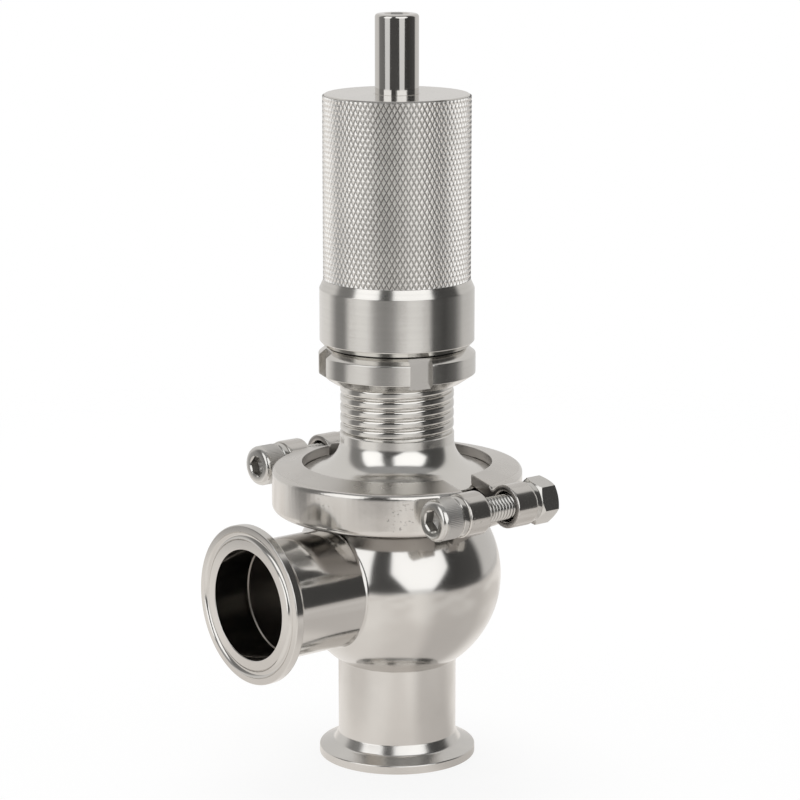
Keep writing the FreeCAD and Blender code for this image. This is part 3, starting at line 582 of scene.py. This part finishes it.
def threaded_neck():
    """The thread's crest winds up the neck. Rows are closer where the thread shows under the lock nut."""
    steps, shown_rows, hidden_rows = 192, 170, 130
    foot = NECK_FOOT_Z - 0.05
    heights = [foot + (HIDDEN_THREAD_Z - foot) * row / shown_rows for row in range(shown_rows)]
    heights += [HIDDEN_THREAD_Z + (NECK_TOP_Z - HIDDEN_THREAD_Z) * row / hidden_rows
                for row in range(hidden_rows + 1)]
    bm = bmesh.new()
    rings = []
    for z in heights:
        run_in, run_out = max(0.0, (z - foot - 0.2) / 0.8), max(0.0, (NECK_TOP_Z - 0.3 - z) / 1.2)
        ring = []
        for k in range(steps):
            angle = 2 * math.pi * k / steps
            lift = thread_height(z / THREAD_PITCH - angle / (2 * math.pi)) * min(1.0, run_in, run_out)
            ring.append(bm.verts.new(polar(THREAD_ROOT + (THREAD_CREST - THREAD_ROOT) * lift, angle, z)))
        rings.append(ring)
    rings += [circle(bm, NECK_BORE, NECK_TOP_Z, steps), circle(bm, NECK_BORE, foot, steps)]
    bridge(bm, rings + rings[:1])
    return weigh_normals(from_bmesh("neck_thread", bm, THREAD), 50)


place(threaded_neck(), "valve_body", "turned_steel", "bonnet_neck")


# Clamp halves: the solids' shape with the rounded edges of a casting

def painted_shade_faces(centre, normal):
    """The channel and opening, the foot and the faces at the two splits: rougher, and darker in colour, which
    is painted shade.
    """
    around = Vector((centre.x, centre.y))
    inward = normal.x * centre.x + normal.y * centre.y < -0.35 * around.length
    channel = inward and around.length < CHANNEL_RADIUS
    foot = normal.z < -0.75
    split = abs(centre.x) < 7.0 and abs(centre.y) > 28.0 and abs(normal.x) > 0.75
    return channel or foot or split


def cast_half(node, name):
    piece = new_object(name, frame["nodes"][node].data.copy(), None)
    piece.data.materials.clear()
    remesh = piece.modifiers.new("cast", "REMESH")
    remesh.mode = "VOXEL"
    remesh.voxel_size = VOXEL * MM
    remesh.use_smooth_shade = True
    smooth = piece.modifiers.new("relax", "SMOOTH")
    smooth.factor = 0.5
    smooth.iterations = 3
    apply_modifiers(piece)
    for material in (CAST, ROUGH_CAST_PAINTED_SHADE, CAST_TOP_PAINTED_SHADE):
        piece.data.materials.append(material)
    for polygon in piece.data.polygons:
        polygon.use_smooth = True
        # Faces in the channel, under the foot and at the splits get the darker, rougher material: painted
        # shade.
        if painted_shade_faces(polygon.center / MM, polygon.normal):
            polygon.material_index = 1
        # Upward faces get the top material, with its slight painted shade.
        elif 0.9 < polygon.normal.z < 0.995:
            polygon.material_index = 2
    place(piece, BODY_OF[node], "cast_steel", node)


cast_half("clamp_half_outlet_side", "clamp_casting_outlet_side")
cast_half("clamp_half_rear", "clamp_casting_rear")


# Clamp fasteners, about their own Z from the head's face

def along_x(piece, x, y):
    """Lays a fastener in a clamp barrel, its own +Z along +X."""
    turn = Matrix.Translation((x * MM, y * MM, BOLT_Z * MM)) @ Matrix.Rotation(math.radians(90), 4, "Y")
    return transform(piece, turn)


def join(name, pieces):
    """One piece from several with the same materials."""
    mesh = bpy.data.meshes.new(name)
    bm = bmesh.new()
    for piece in pieces:
        bm.from_mesh(piece.data)
    bm.to_mesh(mesh)
    bm.free()
    for material in pieces[0].data.materials:
        mesh.materials.append(material)
    for piece in pieces:
        bpy.data.objects.remove(piece)
    return new_object(name, mesh, None)


SHANK, THREAD_GROOVE, SCREW_PITCH = 4.0, 3.42, 1.25
HEAD_RADIUS, HEAD_TEETH, STEPS_PER_TOOTH = 6.5, 72, 4
SOCKET_HALF, SOCKET_DEPTH, SOCKET_MOUTH = 3.0, 3.2, 3.6
SCREW_LENGTH, PLAIN_SHANK_END, LAST_THREAD = 48.0, 12.0, 46.0


def screw_rings():
    """(radius, z, knurl depth, hexagonal) from the socket's floor over the head to the screw's end."""
    head = HEAD_RADIUS
    rings = [(0.4, 4.0, 0, False), (SOCKET_HALF, SOCKET_DEPTH + 0.1, 0, True), (9.0, SOCKET_DEPTH, 0, True),
             (9.0, 0.35, 0, True), (SOCKET_MOUTH, 0.0, 0, False), (4.9, 0.0, 0, False),
             (5.35, 0.07, 0, False), (5.75, 0.26, 0, False), (6.1, 0.6, 0, False), (6.32, 1.0, 0, False),
             (head, 1.6, 0, False), (head, 2.2, 0.03, False), (head, 2.6, 0.10, False),
             (head, 7.0, 0.10, False), (head, 7.3, 0.03, False), (6.4, 7.6, 0, False),
             (6.0, 7.95, 0, False), (4.1, HEAD, 0, False), (SHANK, HEAD + 0.2, 0, False),
             (SHANK, PLAIN_SHANK_END, 0, False)]
    z = PLAIN_SHANK_END
    while z < LAST_THREAD:
        for share, r in ((0, SHANK), (0.12, 3.96), (0.22, 3.84), (0.36, 3.55), (0.5, THREAD_GROOVE),
                         (0.64, 3.55), (0.78, 3.84), (0.88, 3.96)):
            rings.append((r, z + SCREW_PITCH * share, 0, False))
        z += SCREW_PITCH
    return rings + [(3.95, 47.0, 0, False), (3.4, 47.9, 0, False), (0.3, SCREW_LENGTH, 0, False)]


def socket_screw(name, turn):
    """M8 cap screw: knurled head with a chamfered hexagon socket, threaded shank."""
    steps = HEAD_TEETH * STEPS_PER_TOOTH
    bm = bmesh.new()
    rings = []
    for radius, z, knurled, hexagonal in screw_rings():
        ring = []
        for k in range(steps):
            angle = 2 * math.pi * k / steps
            r = radius - knurled * (0.5 - 0.5 * math.cos(2 * math.pi * k / STEPS_PER_TOOTH))
            if hexagonal:
                r = min(radius, SOCKET_HALF / math.cos(angle % (math.pi / 3) - math.pi / 6))
            ring.append(bm.verts.new(polar(r, angle + turn, z)))
        rings.append(ring)
    bridge(bm, rings)
    bm.faces.new(rings[0])
    bm.faces.new(rings[-1])
    bmesh.ops.recalc_face_normals(bm, faces=bm.faces)
    mark_sharp(bm.edges, 28)
    shank = [edge for edge in bm.edges if min(vert.co.z for vert in edge.verts) > (PLAIN_SHANK_END - 1) * MM]
    mark_sharp(shank, 50)
    piece = from_bmesh(name, bm, SCREW)
    piece.data.materials.append(BROACHED)
    piece.data.materials.append(HEAD_KNURL)
    for polygon in piece.data.polygons:
        x, y, z = polygon.center / MM
        away = math.hypot(x, y)
        if 0.36 < z < 4.5 and away < SOCKET_MOUTH + 0.1:
            polygon.material_index = 1
        elif 1.6 < z < 7.3 and away > HEAD_RADIUS - 0.2:
            polygon.material_index = 2
    return piece


def split_washer(name, gap_at):
    """Square section ring with a slanting split."""
    inner, outer, edge, bore_edge = 4.15, 6.4, 0.25, 0.06
    section = [(inner, bore_edge), (inner + bore_edge, 0), (outer - edge, 0), (outer, edge),
               (outer, WASHER - edge), (outer - edge, WASHER), (inner + bore_edge, WASHER),
               (inner, WASHER - bore_edge)]
    gap, slant, count = math.radians(4), math.radians(9), 90
    bm = bmesh.new()
    slices = []
    for k in range(count + 1):
        angle = gap_at + gap + k / count * (2 * math.pi - 2 * gap)
        slices.append([bm.verts.new(polar(r, angle + (z / WASHER - 0.5) * slant, z)) for r, z in section])
    bridge(bm, slices)
    bm.faces.new(slices[0])
    bm.faces.new(slices[-1])
    return weigh_normals(from_bmesh(name, bm, FASTENER), 30)


def chamfered_nut(name, turn):
    """Hexagon nut whose corners are cut by a 30 degree cone at both faces."""
    steps, flat_half, height, bore, face = 144, 6.5, 6.8, 3.45, 6.25
    bm = bmesh.new()

    def corners(foot, slope):
        """The hexagon's outline where the cone of one face cuts it."""
        ring = []
        for k in range(steps):
            angle = 2 * math.pi * k / steps
            side = flat_half / math.cos(angle % (math.pi / 3) - math.pi / 6)
            drop = (side - face) * math.tan(math.radians(30)) + 0.02
            ring.append(bm.verts.new(polar(side, angle + turn, foot + drop * slope)))
        return ring

    def round_ring(radius, z):
        return [bm.verts.new(polar(radius, 2 * math.pi * k / steps + turn, z)) for k in range(steps)]

    rings = [round_ring(bore + 0.65, 0.0), round_ring(face, 0.0), corners(0.0, 1), corners(height, -1),
             round_ring(face, height), round_ring(bore + 0.65, height), round_ring(bore, height - 0.5),
             round_ring(bore, 0.5)]
    bridge(bm, rings + rings[:1])
    return weigh_normals(from_bmesh(name, bm, FASTENER), 18)


SCREW_TURN, HEAD_GAP_AT, NUT_GAP_AT, NUT_TURN = (0.2, 0.7), (2.0, 3.0), (0.6, 2.6), (0.768, 0.268)

screws, head_rings, nut_rings, nuts = [], [], [], []
for number, sign in enumerate((-1, 1)):
    y = BOLT_Y * sign
    end = HALF_GAPS[number] + BARREL
    screws.append(along_x(socket_screw(f"screw_{number}", SCREW_TURN[number]), -end - WASHER - HEAD, y))
    head_rings.append(along_x(split_washer(f"ring_a{number}", HEAD_GAP_AT[number]), -end - WASHER, y))
    nut_rings.append(along_x(split_washer(f"ring_b{number}", NUT_GAP_AT[number]), end, y))
    nuts.append(along_x(chamfered_nut(f"nut_{number}", NUT_TURN[number]), end + WASHER, y))
for name, pieces, node in (("clamp_screws_knurled", screws, "clamp_screws"),
                           ("spring_washers_head", head_rings, "head_washers"),
                           ("spring_washers_nut", nut_rings, "nut_washers"),
                           ("clamp_nuts_chamfered", nuts, "clamp_nuts")):
    place(weigh_normals(join(name, pieces), None), "valve_body", "fastener_steel", node)


# Lock nut

def slotted_nut():
    outline = fillet([
        (NUT_BORE, NUT_LOW_Z, 0.5), (20.7, NUT_LOW_Z, 0.25), (NUT_RADIUS, NUT_LOW_Z + 2.9, 0.35),
        (NUT_RADIUS, NUT_HIGH_Z - 2.4, 0.45), (22.3, NUT_HIGH_Z - 0.3, 0.25), (NUT_BORE, NUT_HIGH_Z, 0.5)])
    nut = lathe("lock_nut_slotted", outline, TURNED, 256)
    tools = []
    for k in range(SLOTS):
        tool = box(f"slot_tool_{k}", (SLOT_FLOOR, -SLOT_HALF, NUT_LOW_Z - 4), (30, SLOT_HALF, NUT_HIGH_Z + 5))
        tools.append(transform(tool, Matrix.Rotation(math.radians(SLOT_TURN + 360 / SLOTS * k), 4, "Z")))
    bevel(cut(nut, tools), 0.3, 3, 50)
    nut.data.materials.clear()
    nut.data.materials.append(TURNED)
    nut.data.materials.append(MILLED)
    for polygon in nut.data.polygons:
        polygon.use_smooth = True
        x, y, z = polygon.center / MM
        upright = abs(polygon.normal.z) < 0.3 and z > NUT_LOW_Z + 0.4
        on_floor = SLOT_FLOOR - 0.4 < math.hypot(x, y) < SLOT_FLOOR + 0.7
        polygon.material_index = 1 if upright and on_floor else 0
    return weigh_normals(nut, 40)


place(slotted_nut(), "locking_nut", "turned_steel", "lock_nut")


# Adjusting cap: turned body and knurled sleeve

def cap_body():
    """The smooth band, the core under the knurl and the lid that the spindle passes through."""
    core, room, lid_z = KNURL_VALLEY + 0.05, 18.8, 207.7
    hole = STEM_RADIUS + 0.05
    outline = fillet([
        (NUT_BORE, CAP_LOW_Z, 0.4), (BAND_RADIUS - 1.4, CAP_LOW_Z, 0.25),
        (BAND_RADIUS, CAP_LOW_Z + 1.5, 0.45), (BAND_RADIUS, BAND_TOP_Z, 0.3),
        (core + 0.4, KNURL_LOW_Z - 0.05, 0.2), (core, KNURL_LOW_Z + 0.1, 0), (core, KNURL_HIGH_Z - 0.15, 0),
        (core + 0.05, KNURL_HIGH_Z + 0.05, 0), (core - 0.25, CAP_HIGH_Z, 0.3),
        (hole + 0.45, CAP_HIGH_Z, 0), (hole, CAP_HIGH_Z - 0.45, 0), (hole, lid_z, 0.1), (room, lid_z, 0.5),
        (room, 162.0, 0.2), (NUT_BORE, 162.0, 0.2)])
    return weigh_normals(lathe("cap_body", outline, TURNED, 256), 30)


def knurl():
    """Diamond knurl: two crossing families of grooves leave flat-topped pyramids."""
    around, pitch, flat = 84, 3.18, 0.32
    base = KNURL_LOW_Z - pitch
    bm = bmesh.new()
    valleys = {}

    def at(radius, i, j):
        """A point of the knurl's grid, i half teeth around and j half pitches up."""
        return polar(radius, math.pi * i / around, base + j * pitch / 2)

    def valley(i, j):
        i %= 2 * around
        if (i, j) not in valleys:
            valleys[i, j] = bm.verts.new(at(KNURL_VALLEY, i, j))
        return valleys[i, j]

    sides = ((-1, 0), (0, -1), (1, 0), (0, 1))
    rows = int((KNURL_HIGH_Z - KNURL_LOW_Z) / (pitch / 2)) + 4
    for j in range(1, rows):
        for i in range(j % 2, 2 * around, 2):
            corners = [valley(i + di, j + dj) for di, dj in sides]
            tops = [bm.verts.new(at(KNURL_CREST, i + di * flat, j + dj * flat)) for di, dj in sides]
            for a in range(4):
                b = (a + 1) % 4
                bm.faces.new((corners[a], corners[b], tops[b], tops[a]))
            bm.faces.new(tops)
    for z, outward in ((KNURL_LOW_Z, -1), (KNURL_HIGH_Z, 1)):
        everything = bm.verts[:] + bm.edges[:] + bm.faces[:]
        bmesh.ops.bisect_plane(bm, geom=everything, plane_co=(0, 0, z * MM), plane_no=(0, 0, outward),
                               clear_outer=True)
    return from_bmesh("cap_knurl", bm, KNURLED, False)


place(cap_body(), "cap", "turned_steel", "adjusting_cap")
place(knurl(), "cap", "turned_steel")


# Spindle

def spindle():
    """Disc thread, journal with the groove of the retaining ring, and the stem with its tapped hole."""
    disc_thread, groove, hole_z = 5.0, 5.4, 225.8
    outline = fillet([
        (0, 42.1, 0), (disc_thread, 42.1, 0.3), (disc_thread, 60.1, 0), (JOURNAL_RADIUS, 60.1, 0.2),
        (JOURNAL_RADIUS, 100.9, 0), (groove, 100.9, 0), (groove, 102.4, 0), (JOURNAL_RADIUS, 102.4, 0),
        (JOURNAL_RADIUS, 105.4, 0), (STEM_RADIUS, 105.4, 0.2), (STEM_RADIUS, STEM_TOP_Z, 1.0),
        (TAPPING_RADIUS + 0.7, STEM_TOP_Z, 0.05), (TAPPING_RADIUS, STEM_TOP_Z - 0.7, 0.05),
        (TAPPING_RADIUS, hole_z, 0.1), (0, hole_z, 0)], closed=False)
    return weigh_normals(lathe("spindle_polished", outline, POLISHED, closed=False), 30)


place(spindle(), "spindle_group", "mirror_steel", "spindle")


# CAD nodes that stay

KEPT = {
    "top_ferrule": MIRROR, "valve_seat": TURNED, "valve_disc": TURNED, "spring_top_seat": TURNED,
    "spring_bottom_seat": TURNED, "disc_lock_nut": FASTENER, "retaining_ring": FASTENER, "spring": SPRING,
    "stem_seal": RUBBER, "disc_seal": RUBBER, "bonnet_gasket": RUBBER, "guide_bush": BEARING,
    "thrust_washer": BEARING,
}
for node, material in KEPT.items():
    piece = frame["nodes"][node]
    piece.data.materials.clear()
    piece.data.materials.append(material)


# Table, studio and camera. The table is in metres, angles are in degrees, and ROOM and the far floor's
# levels hold (azimuth from the camera's side, grey level). The far floor's levels are painted light and
# shade.

TABLE_RADIUS, TABLE_EDGE, TABLE_FADE = 0.80, 0.50, 0.09
FAR_FLOOR_FROM, FAR_FLOOR_TO = 0.37, 0.43
BOX_TOP = 50.0
BOX_TIP = 20.0
BOXES = ((-51.0, 22.0), (26.5, 34.0))
BOX_LEVEL, LOW_BOX_LEVEL, CEILING_LEVEL, FILL_LEVEL = 1.38, 0.84, 0.36, 0.62
ROOM = ((-180, 0.74), (-112, 0.74), (-101, 0.24), (-66, 0.18), (-34, 0.08), (5, 0.075), (60, 0.05),
        (104, 0.085), (113, 0.70), (180, 0.74))
# Painted light and shade on the far table: bright where the softboxes would light it, dark between.
FAR_FLOOR_PAINTED_LIGHT = ((-180, 0.86), (-122, 0.86), (-102, 0.26), (-84, 0.24), (-74, 0.92), (-46, 0.92), (-30, 0.42),
             (-18, 0.34), (-6, 0.42), (6, 0.86), (26, 0.92), (48, 0.80), (54, 0.12), (75, 0.06), (95, 0.16),
             (115, 0.64), (180, 0.72))


def window(g, value, rise, fall):
    """1 between the two (low, high) pairs, 0 outside them, smooth over each."""
    return g.math("MULTIPLY", g.step(value, *rise), g.math("SUBTRACT", 1.0, g.step(value, *fall)))


def table_as_seen(g):
    """A pale matt top with a glow, which keeps the part's shadow."""
    diffuse = g.node("ShaderNodeBsdfDiffuse")
    g.feed(diffuse.inputs["Color"], grey(0.20))
    glow = g.node("ShaderNodeEmission")
    g.feed(glow.inputs["Color"], grey(1.0))
    g.feed(glow.inputs["Strength"], 0.83)
    seen = g.node("ShaderNodeAddShader")
    g.feed(seen.inputs[0], diffuse.outputs[0])
    g.feed(seen.inputs[1], glow.outputs[0])
    return seen


def table_in_steel(g, spot, around, offset):
    """What polished steel shows of the top: mottled near the part, farther away in stripes of painted light
    and shade, and with painted shade toward the right.
    """
    mottle = g.step(g.noise(8.0, 1.5, spot), 0.40, 0.60)
    near = g.mix(mottle, (0.99, 0.955, 0.92, 1), (0.84, 0.80, 0.765, 1))
    # Painted shade: the table shows darker toward the picture's right.
    right = window(g, offset, (20.0, 45.0), (90.0, 130.0))
    mirrored = g.node("ShaderNodeEmission")
    far = g.step(around, FAR_FLOOR_FROM, FAR_FLOOR_TO)
    g.feed(mirrored.inputs["Color"], g.mix(far, near, g.levels(offset, FAR_FLOOR_PAINTED_LIGHT)))
    g.feed(mirrored.inputs["Strength"], g.math("SUBTRACT", 0.98, g.math("MULTIPLY", right, 0.22)))
    return mirrored


def table():
    bm = bmesh.new()
    bmesh.ops.create_circle(bm, cap_ends=True, radius=TABLE_RADIUS, segments=128)
    piece = from_bmesh("table", bm, None)
    material = bpy.data.materials.new("table_top")
    material.use_nodes = True
    g = Graph(material.node_tree)
    spot, x, y, z, around = object_axes(g)
    offset = camera_offset(g, x, y)
    ray = g.node("ShaderNodeLightPath")
    pick = g.node("ShaderNodeMixShader")
    g.feed(pick.inputs[0], g.math("ADD", ray.outputs["Is Glossy Ray"], ray.outputs["Is Transmission Ray"]))
    g.feed(pick.inputs[1], table_as_seen(g).outputs[0])
    g.feed(pick.inputs[2], table_in_steel(g, spot, around, offset).outputs[0])
    left = window(g, offset, (-126.0, -119.0), (-88.0, -80.0))
    nearer = g.math("MULTIPLY", g.math("MULTIPLY", left, ray.outputs["Is Glossy Ray"]), 0.20)
    rim = g.math("SUBTRACT", TABLE_EDGE, nearer)
    clear = g.node("ShaderNodeBsdfTransparent")
    edge = g.node("ShaderNodeMixShader")
    g.feed(edge.inputs[0], g.step(g.math("SUBTRACT", around, rim), 0.0, TABLE_FADE))
    g.feed(edge.inputs[1], pick.outputs[0])
    g.feed(edge.inputs[2], clear.outputs[0])
    output = g.node("ShaderNodeOutputMaterial")
    g.feed(output.inputs["Surface"], edge.outputs[0])
    piece.data.materials.append(material)


table()


def studio():
    """What the steel mirrors: two softboxes with pointed lower ends, dark room, pale backdrop behind."""
    world = bpy.data.worlds.new("studio")
    bpy.context.scene.world = world
    world.use_nodes = True
    g = Graph(world.node_tree)
    split = g.node("ShaderNodeSeparateXYZ")
    g.feed(split.inputs[0], g.node("ShaderNodeTexCoord").outputs["Generated"])
    x, y, z = split.outputs
    offset = camera_offset(g, x, y)
    elevation = g.math("DEGREES", g.math("ARCSINE", z))
    ahead = g.math("SUBTRACT", 1.0, g.step(g.math("ABSOLUTE", offset), 98.0, 116.0))
    ceiling = g.math("MULTIPLY", g.step(elevation, BOX_TOP - 4.0, BOX_TOP + 8.0), ahead)
    picture = g.mix(ceiling, g.levels(offset, ROOM), grey(CEILING_LEVEL))
    box_level = g.mix(g.step(elevation, -5.0, -3.0), grey(LOW_BOX_LEVEL), grey(BOX_LEVEL))
    for centre, half in BOXES:
        reach = g.math("MINIMUM", g.math("ADD", elevation, BOX_TIP), half)
        inside = g.math("SUBTRACT", reach, g.math("ABSOLUTE", g.math("SUBTRACT", offset, centre)))
        inside = g.math("MINIMUM", inside, g.math("SUBTRACT", BOX_TOP, elevation))
        picture = g.mix(g.step(inside, -1.0, 2.5), picture, box_level)
    # Painted light and shade: below the horizon the far table, brighter and darker by azimuth.
    picture = g.mix(g.step(elevation, -9.4, -7.0), g.levels(offset, FAR_FLOOR_PAINTED_LIGHT), picture)
    ray = g.node("ShaderNodeLightPath")
    picture = g.mix(ray.outputs["Is Camera Ray"], picture, grey(1.0))
    shown = g.math("ADD", g.math("ADD", ray.outputs["Is Camera Ray"], ray.outputs["Is Glossy Ray"]),
                   ray.outputs["Is Transmission Ray"])
    background = g.node("ShaderNodeBackground")
    g.feed(background.inputs["Color"], g.mix(shown, grey(FILL_LEVEL), picture))
    g.feed(background.inputs["Strength"], 1.0)
    output = g.node("ShaderNodeOutputWorld")
    g.feed(output.inputs["Surface"], background.outputs[0])


studio()


def overhead():
    """A soft lamp that gives the shadow on the table. Steel doesn't show it."""
    light = bpy.data.lights.new("overhead", "AREA")
    light.shape = "DISK"
    light.size = 0.7
    light.energy = 3.0
    lamp = bpy.data.objects.new("overhead", light)
    lamp.location = (0.15, 0.25, 1.0)
    aim = Vector((0, 0, 0.05)) - lamp.location
    lamp.rotation_euler = aim.to_track_quat("-Z", "Y").to_euler()
    lamp.visible_glossy = False
    bpy.context.scene.collection.objects.link(lamp)


overhead()


CAMERA_PLACE, CAMERA_PITCH = (-592.78, -729.89, 319.9), 12.178
SENSOR_WIDTH, FOCAL_PIXELS, PHOTO_PIXELS = 36.0, 3014.43, 800


def camera():
    data = bpy.data.cameras.new("camera")
    data.sensor_width = SENSOR_WIDTH
    data.lens = FOCAL_PIXELS / PHOTO_PIXELS * SENSOR_WIDTH
    data.clip_start = 0.05
    view = bpy.data.objects.new("camera", data)
    view.location = [c * MM for c in CAMERA_PLACE]
    view.rotation_euler = (math.radians(90 - CAMERA_PITCH), 0, math.radians(CAMERA_TURN))
    bpy.context.scene.collection.objects.link(view)
    bpy.context.scene.camera = view


camera()

bpy.context.scene.view_settings.view_transform = "Standard"
